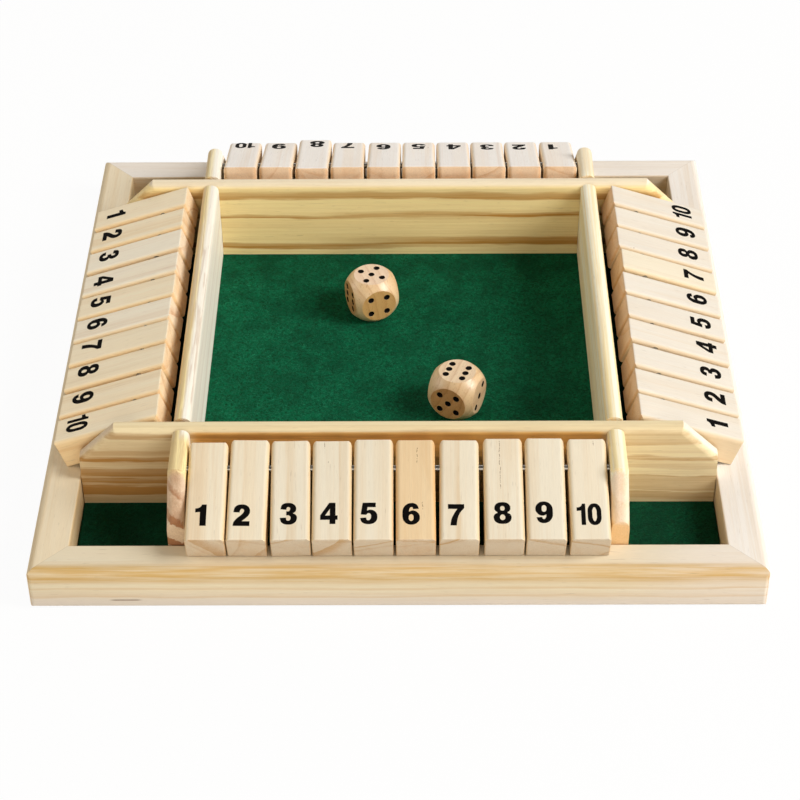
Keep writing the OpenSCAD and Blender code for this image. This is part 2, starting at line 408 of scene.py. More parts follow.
def pine(name, at, pale, late, seed, pith, ring_width=8.0, ring_depth=0.6, lean=(0, 0, 0),
         blush=0.4, end_depth=1.25, foot_tint=(0.86, 0.74, 0.64), head_tint=None,
         side_tint_and_shade=(1, 1, 1), bands=None, marks=None):
    """A pine material whose grain runs along Y of the frame at.

    Pale may be a function of the net and the place, as bands and marks are."""
    m, net, shader, place = material(name)
    local = in_piece(net, place, at)
    group = net.node("Group")
    group.node_tree = PINE
    turned = at.to_3x3()
    for key, value in (
        ("Place", local), ("Seed", seed), ("Pith", pith), ("Lean", lean),
        ("Grain", turned @ Vector((0, 1, 0))), ("Across", turned @ Vector((1, 0, 0))),
        ("Ring width", ring_width), ("Ring depth", ring_depth),
        ("End depth", end_depth), ("Blush", blush),
        ("Pale", pale(net, local) if callable(pale) else pale), ("Late", late),
        ("Foot tint", (*foot_tint, 1)), ("Head tint", (*(head_tint or foot_tint), 1)),
        ("Side tint and shade", (*side_tint_and_shade, 1)),
        ("Bands", bands(net, local) if bands else 0.0),
        ("Marks", marks(net, local) if marks else 0.0),
    ):
        net.put(group.inputs[key], value)
    for key, socket in (("Base Color", "Color"), ("Roughness", "Roughness"), ("Normal", "Normal")):
        net.put(shader.inputs[key], group.outputs[socket])
    shader.inputs["Specular IOR Level"].default_value = 0.3
    return m


# ---------------------------------------------------------------- camera
# Fitted to 98 points of the photograph

CAMERA_PLACE = (4.827, -585.951, 473.843)
CAMERA_YAW, CAMERA_PITCH, CAMERA_ROLL = -0.463, 39.601, -0.449
CAMERA_LENS, CAMERA_SENSOR = 98.241, 36


def add_camera():
    yaw, pitch, roll = (math.radians(v) for v in (CAMERA_YAW, CAMERA_PITCH, CAMERA_ROLL))
    level = math.cos(pitch)
    ahead = Vector((math.sin(yaw) * level, math.cos(yaw) * level, -math.sin(pitch)))
    right = ahead.cross(Vector((0, 0, 1))).normalized()
    up = right.cross(ahead)
    x = right * math.cos(roll) + up * math.sin(roll)
    y = up * math.cos(roll) - right * math.sin(roll)
    data = bpy.data.cameras.new("camera")
    data.sensor_width = CAMERA_SENSOR
    data.lens = CAMERA_LENS
    data.clip_start = 0.01
    camera = add_object("camera", data)
    turned = Matrix((x, y, -ahead)).transposed().to_4x4()
    camera.matrix_world = Matrix.Translation(Vector(CAMERA_PLACE) * MM) @ turned
    bpy.context.scene.camera = camera


# ---------------------------------------------------------------- light
# Name, azimuth, elevation, distance and sides in metres, watts and colour of each
# soft box. Azimuth 0 is +X and -90 is the front.

LAMPS = (
    ("key", -16, 38, 1.5, (0.6, 0.8), 20.6, (1, 0.995, 0.98)),
    ("front_fill", -88, 16, 1.6, (1.4, 0.5), 7.8, (1, 0.95, 0.87)),
    ("back_fill", 92, 26, 1.6, (1.2, 0.7), 5, (1, 1, 1)),
    ("left_fill", 178, 26, 1.6, (1, 0.6), 5.5, (1, 0.96, 0.88)),
)
WORLD_LEVEL, WORLD_COLOR = 0.2, (1, 0.92, 0.8, 1)
STUDIO_HALF, STUDIO_DROP = 4, 0.0002  # metres
STUDIO_COLOR, STUDIO_GLOW = (0.9, 0.87, 0.8, 1), 0.95


def add_lamp(name, azimuth, elevation, distance, size, watts, color):
    """A soft box that looks at the middle."""
    data = bpy.data.lights.new(name, "AREA")
    data.shape = "RECTANGLE"
    data.size, data.size_y = size
    data.energy = watts
    data.color = color
    lamp = add_object(name, data)
    a, e = math.radians(azimuth), math.radians(elevation)
    level = math.cos(e)
    spot = Vector((math.cos(a) * level, math.sin(a) * level, math.sin(e))) * distance
    lamp.location = spot
    lamp.rotation_euler = spot.to_track_quat("Z", "Y").to_euler()


def add_world():
    """Dim and warm on the object, white behind it."""
    world = bpy.data.worlds.new("studio")
    world.use_nodes = True
    bpy.context.scene.world = world
    net = Net(world.node_tree)
    world.node_tree.nodes.clear()
    dim, white = net.node("Background"), net.node("Background")
    dim.inputs["Strength"].default_value = WORLD_LEVEL
    dim.inputs["Color"].default_value = WORLD_COLOR
    white.inputs["Color"].default_value = (1, 1, 1, 1)
    mix = net.node("MixShader")
    net.put_all(mix, (net.seen(), dim.outputs[0], white.outputs[0]))
    net.put(net.node("OutputWorld").inputs["Surface"], mix.outputs[0])


def add_floor():
    """A pale floor, nearly white to the camera, that keeps some of the shadow."""
    s = STUDIO_HALF
    mesh = bpy.data.meshes.new("studio_floor")
    corners = [(-s, -s, 0), (s, -s, 0), (s, s, 0), (-s, s, 0)]
    mesh.from_pydata(corners, [], [(0, 1, 2, 3)])
    floor = add_object("studio_floor", mesh)
    floor.location.z = -STUDIO_DROP
    m, net, shader, _ = material("studio_floor")
    shader.inputs["Base Color"].default_value = STUDIO_COLOR
    shader.inputs["Roughness"].default_value = 1
    shader.inputs["Specular IOR Level"].default_value = 0
    glow = net.node("Emission")
    mix = net.node("MixShader")
    net.put_all(mix, (net.times(net.seen(), STUDIO_GLOW), shader.outputs[0], glow.outputs[0]))
    net.put(m.node_tree.nodes["Material Output"].inputs["Surface"], mix.outputs[0])
    floor.data.materials.append(m)


# ---------------------------------------------------------------- boards
# Bands along each board, as (height above the table, darkness) pairs

BANDS = {
    "front_left": [
        (5, 0.4), (8, 0.5), (9.4, 1.2), (11, 1.1), (12.3, 0.95), (12.9, 0.6), (13.8, 1),
        (15, 0.9), (15.8, 0.5), (16.9, 0.95), (19, 0.8), (20.4, 0.4), (22, 0.5), (22.9, 1.05),
        (23.8, 0.8), (24.8, 0.4), (26.8, 0.42), (27.6, 0.2), (31.8, 0.2), (32.6, 0.65),
        (33.9, 0.5), (34.8, 0.1)],
    # The right stub's bands are lighter than the left stub's, partly painted light where the key
    # light falls on the right stub
    "front_right": [
        (5, 0.3), (6.6, 0.55), (8.8, 0.5), (9.4, 0.05), (10.4, 0.5), (13, 0.35), (15.4, 0.4),
        (16.1, 0.65), (16.7, 0.02), (18.7, 0.03), (19.4, 0.3), (22.3, 0.22), (22.9, 0.65),
        (23.8, 0.45), (24.5, 0.02), (28.4, 0.02), (29.2, 0.42), (33.3, 0.3), (34.2, 0.06)],
    "back_left": [
        (5, 0.02), (7.4, 0.05), (8.1, 0.95), (9.6, 0.7), (10.6, 0.1), (20.6, 0.14),
        (21.3, 0.95), (22, 0.6), (22.7, 0.02), (29, 0.02), (29.7, 0.7), (31.6, 0.55),
        (32.7, 0.1), (35.4, 0.03)],
    "back_right": [
        (5, 0.04), (8.6, 0.1), (9.6, 1), (12, 0.75), (13, 0.2), (21.6, 0.2), (22.4, 1),
        (23.2, 0.6), (24, 0.06), (29, 0.04), (29.7, 0.75), (31.6, 0.6), (32.7, 0.1),
        (35.4, 0.03)],
    "left": [
        (5, 0.2), (6.5, 0.15), (7.2, 0.65), (8.4, 0.15), (13.6, 0.1), (14.4, 0.95),
        (16.6, 0.85), (17.2, 0.1), (22.6, 0.1), (23.2, 0.85), (24.8, 0.7), (25.4, 0.34),
        (29.2, 0.34), (29.8, 0.65), (30.6, 0.55), (31.2, 0.36), (34.8, 0.34), (35.15, 0.02),
        (35.6, 0.35), (35.75, 0.02)],
    "right": [
        (5, 0.3), (11, 0.25), (12.5, 0.03), (17, 0.03), (18, 0.12), (21, 0.03), (27, 0.02),
        (28, 0.2), (29, 0.04), (33.6, 0.12), (34.2, 0.02), (34.8, 0.22), (35.4, 0.03),
        (36.5, 0.02)],
}
BANDS_DEPTH, BANDS_TURN = 40.0, 60  # height of the ramps, and where one gives way to another
TAN, UMBER = srgb(190, 136, 60), srgb(181, 131, 68)
BROWN, GOLD = srgb(174, 124, 86), srgb(214, 172, 92)

# Where a board's tone changes, as the distances between which it does: beside the
# tiles, where the painted warm bounce light behind them ends, past the lap, and where
# its level top gives way to the slant
BY_TILES, PAST_LAP, AT_SLANT = (62, 66), (70, 76), (88.5, 90.5)


def height_bands(left, right=None, across=0.0, fade=None, rough=1.9):
    """Bands across a board's height, from its left end's to its right end's.

    Across tilts them over the thickness. Fade is (from, to, darkness that is left)
    across the thickness. Rough is how ragged their edges are."""
    def make(net, local):
        x, y, z = net.split(local)
        wave = net.grain(local, (0, 0.018, 0.02))
        ragged = net.grain(local, (1.1, 0.06, 1.1), 3)
        h = net.sway(net.math("MULTIPLY_ADD", x, across, z), wave, 4)
        h = net.math("DIVIDE", net.sway(h, ragged, rough), BANDS_DEPTH)
        ramps = [net.ramp(h, [((v - FLOOR_Z) / BANDS_DEPTH, level) for v, level in BANDS[key]])
                 for key in (left, right or left)]
        total = net.mix(net.span(y, BANDS_TURN, -BANDS_TURN), *ramps) if right else ramps[0]
        if fade:
            total = net.times(total, net.span(x, fade[0], fade[1], 1, fade[2]))
        return total
    return make


def front_pale(net, local):
    """Yellow, and deeper orange on the face behind the tiles, which is painted warm bounce light
    in shade.
    """
    x, y, _ = net.split(local)
    outer_face = net.span(x, -2.7, -2.3, 1, 0)
    # Painted warm bounce light: orange on the outer face behind the tiles, where it is in shade
    behind = net.times(net.span(net.size(y), *BY_TILES, 1, 0), outer_face)
    return net.mix(behind, srgb(241, 224, 182), srgb(246, 192, 108))


def back_pale(net, local):
    """Golden on its faces and paler on top."""
    _, _, z = net.split(local)
    return net.mix(net.span(z, 28.6, 30), srgb(255, 231, 168), srgb(245, 230, 200))


def left_pale(net, local):
    """Nearly white, yellow along its outer edge and in front, with a pinkish front end."""
    x, y, _ = net.split(local)
    streak = net.grain(local, (0.9, 0.02, 0.9))
    outer = net.times(net.span(x, -0.6, 0.6, 1, 0), net.span(streak, 0.35, 0.55, 0.5, 1))
    front = net.span(y, -PAST_LAP[1], -PAST_LAP[0], 1, 0)
    long = net.mix(net.most((outer, front)), srgb(253, 248, 234), srgb(255, 236, 176))
    return net.mix(net.span(y, -AT_SLANT[1], -AT_SLANT[0], 1, 0), long, srgb(240, 219, 190))


def right_pale(net, local):
    """Yellow and streaky, with a pinkish front end that is orange below its slant."""
    _, y, z = net.split(local)
    streak = net.grain(local, (0.9, 0.008, 0.9))
    long = net.mix(net.span(streak, 0.38, 0.62), srgb(255, 251, 230), srgb(252, 234, 182))
    back = net.span(y, -PAST_LAP[1], -PAST_LAP[0], 0.8, 0)
    long = net.mix(back, long, srgb(242, 228, 200))
    end = net.mix(net.span(z, 17, 19), srgb(238, 206, 156), srgb(244, 226, 202))
    return net.mix(net.span(y, *AT_SLANT), long, end)


def add_boards():
    for name, pale, late, bands, end_depth, foot, head in (
        ("front", front_pale, UMBER, height_bands("front_left", "front_right", rough=3),
         0.15, (1.04, 1.16, 1.6), (0.9, 0.85, 0.98)),
        ("back", back_pale, TAN, height_bands("back_right", "back_left"),
         0.2, (1, 1, 1.1), (1, 1.02, 1.2)),
        ("left", left_pale, BROWN, height_bands("left", across=0.55, fade=(2.2, 2.7, 0.15)),
         1.4, (0.96, 0.93, 0.9), None),
        ("right", right_pale, GOLD, height_bands("right", across=-0.5),
         0.8, (1, 0.93, 0.9), None),
    ):
        seed = (SIDES.index(name) * 37.0, 11.0, 5.0)
        m = pine("pine_" + name + "_board", board_frame(name), pale, late, seed, (50, 0, 90),
                 ring_width=7, ring_depth=0.1, blush=0.1, end_depth=end_depth,
                 foot_tint=foot, head_tint=head, bands=bands)
        dress(name + "_board", m)


# ---------------------------------------------------------------- rails

# Darkness of the band along the outer top edge, darkness of the lines below it, and
# how far from the edge the band ends. It is darkest up to EDGE_CORE from the edge.
RAIL_LOOKS = {"front": (0.64, 0.4, 6), "left": (0.15, 0.12, 4.2)}
OTHER_RAIL = (0.08, 0.14, 4.2)
EDGE_CORE = 2.7
# Darkness of the lines, from a rail's top at 0 to its foot at 1
RAIL_LINES = [(0, 0), (0.3, 0.1), (0.42, 0.2), (0.48, 1), (0.52, 0.1), (0.64, 0.3), (0.7, 0.9),
              (0.74, 0), (1, 0)]
# A scar on the front rail: its place along the rail and above the table
SCAR_Y, SCAR_Z = 83, 3.3


def rail_bands(side):
    """A darker band along the outer top edge, wavy lines below it, and a golden inner face that is
    painted warm shade.
    """
    depth, lines, end = RAIL_LOOKS.get(side, OTHER_RAIL)

    def make(net, local):
        x, _, z = net.split(local)
        wave = net.grain(local, (0.02, 0.016, 0.02))
        ragged = net.grain(local, (0.9, 0.035, 0.9), 3)
        bend = net.sway(net.times(net.math("SUBTRACT", ragged, 0.5), 1.6), wave, 2.8)
        drop = net.math("SUBTRACT", RAIL_H, z)
        reach = net.math("ADD", net.most((net.times(x, 1.25), drop)), bend)
        edge = net.times(net.span(reach, EDGE_CORE, end, depth, 0),
                         net.span(ragged, 0.3, 0.7, 0.6, 1.4))
        fall = net.math("DIVIDE", net.math("ADD", drop, bend), RAIL_H)
        rings = net.times(net.ramp(fall, RAIL_LINES), net.span(x, 0.6, 2.5, lines, 0))
        # Painted warm shade on the inner face, which looks into the pockets and under the tiles
        inner_face_shade = net.span(x, RAIL_W - 0.5, RAIL_W - 0.1)
        return net.math("MULTIPLY_ADD", inner_face_shade, 0.5, net.math("ADD", edge, rings))
    return make


def rail_marks(side):
    """The mitre at each end and short dark dashes, and a scar on the front rail."""
    def make(net, local):
        x, y, z = net.split(local)
        off = net.size(net.math("SUBTRACT", net.math("ADD", net.size(y), x), TRAY_HALF))
        seam = net.span(off, 0.05, 0.22, 0.16, 0)
        dash = net.grain(local, (1.5, 0.07, 1.5))
        dash = net.span(dash, 0.72, 0.79, 0, 0.5 if side == "front" else 0.1)
        marks = [seam, dash]
        if side == "front":
            off_y = net.size(net.math("SUBTRACT", y, SCAR_Y))
            off_z = net.size(net.math("SUBTRACT", z, SCAR_Z))
            marks.append(net.times(net.span(off_y, 3, 5.5, 0.6, 0),
                                   net.span(off_z, 0.15, 0.45, 1, 0)))
        return net.most(marks)
    return make


def front_rail_pale(net, local):
    """Greyer towards the foot of the outer face, and paler and pinker at the right end, which is
    painted light where the key light falls.
    """
    x, y, z = net.split(local)
    low = net.times(net.span(z, 1, 9, 1, 0), net.span(x, 0.3, 1, 1, 0))
    long = net.mix(net.span(y, -100, -60, 1, 0), srgb(231, 219, 193), srgb(235, 224, 210))
    return net.mix(low, long, srgb(220, 209, 198))


def add_rails():
    # Tone of each rail, partly painted light: paler and cooler on the right and back rails, where
    # the white key light falls, and yellower on the left rail, where warm light falls
    tones = {"front": front_rail_pale, "right": srgb(243, 236, 228),
             "back": srgb(243, 235, 226), "left": srgb(237, 222, 193)}
    for name in SIDES:
        seed = (SIDES.index(name) * 53.0, 7.0, 2.0)
        m = pine("pine_" + name + "_rail", rail_frame(name), tones[name], srgb(208, 168, 98),
                 seed, (-30, 0, -40), ring_width=9, ring_depth=0.1, blush=0.15,
                 bands=rail_bands(name), marks=rail_marks(name))
        dress(name + "_rail", m)


# ---------------------------------------------------------------- tiles

# Early and late wood of each tone
TONES = {
    "cream": (srgb(240, 228, 204), srgb(214, 178, 130)),
    "white": (srgb(235, 225, 204), srgb(214, 182, 136)),
    "peach": (srgb(234, 208, 168), srgb(214, 166, 104)),
    "honey": (srgb(255, 240, 210), srgb(220, 180, 124)),
    "rose": (srgb(255, 245, 224), srgb(224, 188, 150)),
    "chalk": (srgb(252, 246, 240), srgb(228, 202, 176)),
    "snow": (srgb(234, 225, 211), srgb(222, 194, 154)),
}
# Tone of each tile, which also varies from tile to tile. By row the tones are partly painted
# light: brighter and warmer on the left row, which leans away from the key light, and cooler on
# the right and back rows, where white light falls
ROW_TONES_AND_LIGHT = {
    "front": "cream cream white white white peach white white white white".split(),
    "right": "snow snow snow snow snow snow cream snow snow snow".split(),
    "back": ["chalk"] * TILES,
    "left": "honey honey rose rose honey rose honey honey honey honey".split(),
}
# End grain of each row's heads, with painted shade: darker and more orange on the right and back
# rows, whose heads stand in shade, lighter on the front and left rows
HEAD_TINTS_AND_SHADE = {"front": (0.95, 0.8, 0.66), "right": (0.87, 0.66, 0.48),
              "back": (0.86, 0.67, 0.48), "left": (0.94, 0.83, 0.73)}
# End grain at the foot of peach tiles and of the rest, and a golden colour of the long sides that
# is partly sawn grain and partly painted warm shade
PEACH_FOOT, FOOT_TINT, FLANK_TINT_AND_SHADE = (0.83, 0.88, 1.06), (0.81, 0.755, 0.73), (0.96, 0.83, 0.64)

# Growth rings that end a tile with a line: (across, height, slope, bend, darkness, fade)
RINGS = {
    ("front", 1): [(-0.5, -3.4, -50, 0, 0.6, 7)],
    ("front", 2): [(3.8, -5.6, 52, 0.01, 0.5, -3), (-1, 0.6, -8, 0.02, 0.25, 2)],
    ("front", 3): [(-2.8, 1.3, 20, 0, 0.7, -1.2)],
    ("front", 4): [(-1, -2.4, 45, -0.03, 0.75, -5)],
    ("front", 5): [(0, -0.8, 20, -0.01, 0.8, -1), (-1, -3.2, 16, 0, 0.35, -1.5)],
    ("front", 6): [(0, 0.7, -5, 0, 0.45, 2)],
    ("front", 7): [(-2, 0.5, 32, -0.02, 0.75, 1.2)],
    ("front", 8): [(0, 2.2, -4, 0, 0.3, -3)],
    ("front", 9): [(0, -0.4, -19, 0, 0.6, 2.5)],
    ("front", 10): [(0, -1.2, -17, 0.01, 0.75, 1.5), (5, -6, 40, 0, 0.5, -2)],
}

# Fine dark cracks on a numbered face: (across, from, to), along from the rod
CRACKS = {
    ("front", 4): [(-2.4, 8.5, 5.8), (-1, 1.6, 0.6)],
    ("front", 6): [(0.6, 6.5, 0.5), (2.1, -12.5, -16)],
    ("front", 8): [(-1, 9, -8.5)],
    ("front", 10): [(2, 8.6, 6.6)],
    ("back", 5): [(-3.6, -17, -19)],
    ("right", 8): [(-5, 5, 3)],
}
CRACK_TAPER = 0.6


def ring_lines(lines):
    """Late wood that is sharp on one side of each line and fades on the other."""
    def make(net, local):
        x, _, z = net.split(local)
        wobble = net.grain(local, (0.2, 0.03, 0.2))
        drawn = []
        for x0, z0, slope, bend, dark, fade in lines:
            cos, sin = math.cos(math.radians(slope)), math.sin(math.radians(slope))
            run = net.math("MULTIPLY_ADD", x, cos, -x0 * cos - z0 * sin)
            run = net.math("MULTIPLY_ADD", z, sin, run)
            off = net.math("MULTIPLY_ADD", x, -sin, x0 * sin - z0 * cos)
            off = net.math("MULTIPLY_ADD", z, cos, off)
            off = net.math("MULTIPLY_ADD", net.times(run, run), bend, off)
            off = net.sway(off, wobble, 1.4)
            if fade < 0:
                off = net.times(off, -1)
            drawn.append(net.times(net.span(off, 0.1, abs(fade), dark / 2, 0),
                                   net.span(off, -0.15, 0.1)))
        return net.most(drawn)
    return make


def cracks(lines):
    def make(net, local):
        x, y, z = net.split(local)
        bend = net.line_noise(y, 0.35, 3)
        gaps = net.line_noise(y, 1.3, 1)
        drawn = []
        for x0, start, stop in lines:
            off = net.size(net.sway(net.math("SUBTRACT", x, x0), bend, 1.2))
            line = net.times(net.span(off, 0.04, 0.16, 0.75, 0), net.span(gaps, 0.42, 0.52))
            line = net.times(line, net.span(y, stop, stop + CRACK_TAPER))
            drawn.append(net.times(line, net.span(y, start - CRACK_TAPER, start, 1, 0)))
        return net.times(net.most(drawn), net.span(z, 0.5, 1.5))
    return make


def tile_pine(side, n):
    rng = random.Random(SIDES.index(side) * 100 + n)
    tone = ROW_TONES_AND_LIGHT[side][n - 1]
    pale, late = TONES[tone]
    angle = rng.uniform(0, 2 * math.pi)
    far = rng.uniform(18, 70)
    pith = (far * math.cos(angle), 0, far * math.sin(angle))
    seed = tuple(rng.uniform(-400, 400) for _ in range(3))
    lean = (rng.uniform(-0.04, 0.04), 0, rng.uniform(-0.08, 0.08))
    own = [(rng.uniform(-4, 4), rng.uniform(-5, 0), rng.uniform(-60, 60),
            rng.uniform(-0.04, 0.04), rng.uniform(0.2, 0.6),
            rng.choice((-1, 1)) * rng.uniform(1, 4)) for _ in range(rng.choice((1, 2)))]
    lines = RINGS.get((side, n), own)
    flaws = CRACKS.get((side, n))
    return pine(f"pine_{side}_tile_{n}", tile_frame(side, n), pale, late, seed, pith,
                ring_width=rng.uniform(7, 11), ring_depth=rng.uniform(0.06, 0.16),
                lean=lean, blush=rng.uniform(0.1, 0.4), end_depth=2.2,
                foot_tint=PEACH_FOOT if tone == "peach" else FOOT_TINT,
                head_tint=HEAD_TINTS_AND_SHADE[side], side_tint_and_shade=FLANK_TINT_AND_SHADE,
                bands=ring_lines(lines), marks=cracks(flaws) if flaws else None)


# ---------------------------------------------------------------- numbers


def c(x, y):
    """A corner of an outline. A plain (x, y) pair is a round point."""
    return (x, y, True)


# Outlines of the numbers, OUTLINE_H high
OUTLINE_H = 100
DIGITS = {
    "1": [[c(20, 0), c(46, 0), c(46, 100), c(27, 100), (22, 90), (13, 84), c(0, 81),
           c(0, 63), c(20, 65)]],
    "2": [[c(1, 0), c(70, 0), c(70, 22), c(37, 22), (52, 36), (65, 51), (70, 70), (61, 92),
           (36, 101), (10, 92), c(1, 65), c(27, 63), (30, 76), (36, 81), (43, 78), (45, 69),
           (37, 55), (16, 35), (4, 17)]],
    "3": [[c(0, 31), (8, 9), (34, -1), (61, 7), (71, 29), (67, 43), c(54, 52), (64, 60),
           (68, 74), (59, 93), (34, 101), (11, 94), c(2, 72), c(27, 69), (29, 79), (35, 82),
           (41, 79), (43, 72), (39, 63), c(27, 61), c(27, 43), (40, 41), (45, 31), (42, 21),
           (35, 17), (28, 20), c(26, 32)]],
    "4": [[c(39, 0), c(63, 0), c(63, 20), c(72, 20), c(72, 40), c(63, 40), c(63, 100),
           c(37, 100), c(0, 41), c(0, 20), c(39, 20)],
          [c(20, 40), c(40, 40), c(40, 72)]],
    "5": [[c(65, 100), c(11, 100), c(3, 45), c(26, 43), (30, 49), (36, 51), (44, 46),
           (46, 34), (43, 22), (35, 17), (28, 20), c(26, 30), c(0, 28), (9, 8), (35, -1),
           (62, 8), (72, 34), (63, 58), (43, 67), c(29, 63), c(31, 79), c(65, 79)]],
    "6": [[c(67, 74), (58, 93), (37, 101), (9, 87), (-1, 49), (9, 11), (35, -1), (61, 9),
           (71, 33), (62, 56), (42, 66), c(26, 60), (29, 76), (36, 82), (42, 79), c(43, 72)],
          [(35, 48), (43, 44), (45, 32), (43, 21), (35, 16), (27, 21), (25, 32), (27, 43)]],
    "7": [[c(0, 100), c(67, 100), c(67, 82), (50, 60), (40, 33), c(36, 0), c(10, 0),
           (14, 27), (25, 55), c(39, 78), c(0, 78)]],
    "8": [[(35, 101), (60, 93), (68, 74), (64, 60), (56, 53), (67, 44), (72, 28), (62, 7),
           (35, -1), (8, 7), (-2, 28), (3, 44), (14, 53), (6, 60), (2, 74), (10, 93)],
          [(35, 83), (42, 80), (44, 72), (42, 64), (35, 61), (28, 64), (26, 72), (28, 80)],
          [(35, 43), (43, 39), (46, 30), (43, 20), (35, 16), (27, 20), (24, 30), (27, 39)]],
    "10": [[c(18, 0), c(36, 0), c(36, 100), c(23, 100), (19, 90), (11, 84), c(0, 82),
            c(0, 66), c(18, 68)],
           [(73, 101), (93, 91), (101, 50), (93, 9), (73, -1), (53, 9), (45, 50), (53, 91)],
           [(73, 83), (80, 74), (82, 50), (80, 26), (73, 17), (66, 26), (64, 50), (66, 74)]],
}
DIGITS["9"] = [[(70 - x, OUTLINE_H - y, *corner) for x, y, *corner in ring]
               for ring in DIGITS["6"]]
NUMBER_H, NUMBER_T, NUMBER_LIFT = 7.3, 0.03, 0.01


def digit_mesh(text):
    """A flat mesh of a number, centred on its outline, in metres."""
    data = bpy.data.curves.new("outline", "CURVE")
    data.dimensions = "2D"
    data.fill_mode = "BOTH"
    data.resolution_u = 6
    data.extrude = NUMBER_T / NUMBER_H * OUTLINE_H
    for ring in DIGITS[text]:
        spline = data.splines.new("BEZIER")
        spline.bezier_points.add(len(ring) - 1)
        spline.use_cyclic_u = True
        for point, (x, y, *corner) in zip(spline.bezier_points, ring):
            point.co = (x, y, 0)
            kind = "VECTOR" if corner else "AUTO"
            point.handle_left_type = point.handle_right_type = kind
    holder = add_object("outline", data)
    seen = holder.evaluated_get(bpy.context.evaluated_depsgraph_get())
    mesh = bpy.data.meshes.new_from_object(seen)
    mesh.name = "number_" + text
    bpy.data.objects.remove(holder)
    xs = [v.co.x for v in mesh.vertices]
    middle = (min(xs) + max(xs)) / 2
    scale = NUMBER_H / OUTLINE_H * MM
    mesh.transform(Matrix.Scale(scale, 4) @ shift(-middle, -OUTLINE_H / 2, 0))
    work = bmesh.new()
    work.from_mesh(mesh)
    bmesh.ops.remove_doubles(work, verts=work.verts, dist=1e-7)
    work.to_mesh(mesh)
    work.free()
    return mesh


def ink_material():
    m, net, shader, place = material("ink")
    spots = net.noise(place, 5200, 3, 0.6)
    wear = net.noise(place, 900, 3, 0.6)
    color = net.mix(net.span(spots, 0.35, 0.75), srgb(5, 4, 4), srgb(20, 16, 14))
    net.put(shader.inputs["Base Color"], color)
    net.put(shader.inputs["Roughness"], net.span(wear, 0.2, 0.8, 0.5, 0.8))
    shader.inputs["Specular IOR Level"].default_value = 0.06
    return m


def add_tiles():
    ink = ink_material()
    meshes = {}
    for n in range(1, TILES + 1):
        meshes[n] = digit_mesh(str(n))
        meshes[n].materials.append(ink)
    for side in SIDES:
        for n in range(1, TILES + 1):
            name = f"{side}_tile_{n}"
            dress(name, tile_pine(side, n))
            number = add_object(name + "_number", meshes[n])
            x, y = PRINT[side][n - 1]
            at = tile_frame(side, n) @ shift(x, y, BORE_DEPTH + NUMBER_LIFT)
            at.translation *= MM
            number.matrix_world = at
            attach(number, name)


# ---------------------------------------------------------------- felt

FELT_STEPS = 200
# The nap lies NAP_DIP to NAP_DIP + NAP_VARY below the felt's top, and the cut edge
# EDGE_DIP below it. The underside is UNDER_GAP above the panel.
NAP_DIP, NAP_VARY, EDGE_DIP, UNDER_GAP = 0.01, 0.05, 0.12, 0.02
# Layers of hairs, each turned and moved on from the one before
HAIR_LAYERS, FIRST_HAIR_TURN, HAIR_TURN = 5, 15, 37
HAIR_SIZE, HAIR_STEP = (1.8, 0.3, 1), (7.0, 3.0)
NAP_DARK, NAP_LIGHT, HAIR_COLOR = srgb(0, 60, 34), srgb(5, 112, 74), srgb(44, 146, 106)
# Dim green for random blotches and for painted shade near the back board
BLOTCH_AND_SHADE_FELT, POCKET_SHADE_FELT = srgb(0, 56, 32), srgb(2, 34, 22)
# Distances over which painted shade darkens it towards the back board, and over which
# painted shade darkens the pockets outside the boards
BACK_SHADE, PAST_BOARDS = (38, 62), (64, 69)


def felt_mesh():
    """A closed sheet with an uneven top, a dipped edge and a flat underside."""
    rng = random.Random(5)
    work = bmesh.new()
    last = FELT_STEPS
    places = [-FELT_HALF + 2 * FELT_HALF * i / last for i in range(last + 1)]
    rows = []
    for j, y in enumerate(places):
        row = []
        for i, x in enumerate(places):
            near_edge = i in (0, last) or j in (0, last)
            z = FLOOR_Z - (EDGE_DIP if near_edge else NAP_DIP + NAP_VARY * rng.random())
            row.append(work.verts.new((x * MM, y * MM, z * MM)))
        rows.append(row)
    for j in range(last):
        for i in range(last):
            work.faces.new((rows[j][i], rows[j][i + 1], rows[j + 1][i + 1], rows[j + 1][i]))
    rim = rows[0][:last] + [row[last] for row in rows[:last]]
    rim += rows[last][:0:-1] + [row[0] for row in rows[:0:-1]]
    under = (FLOOR_Z - FELT_T + UNDER_GAP) * MM
    low = [work.verts.new((v.co.x, v.co.y, under)) for v in rim]
    for k in range(len(rim)):
        work.faces.new((rim[k], low[k], low[k - 1], rim[k - 1]))
    work.faces.new(low)
    return mesh_from(work, "felt_sheet")


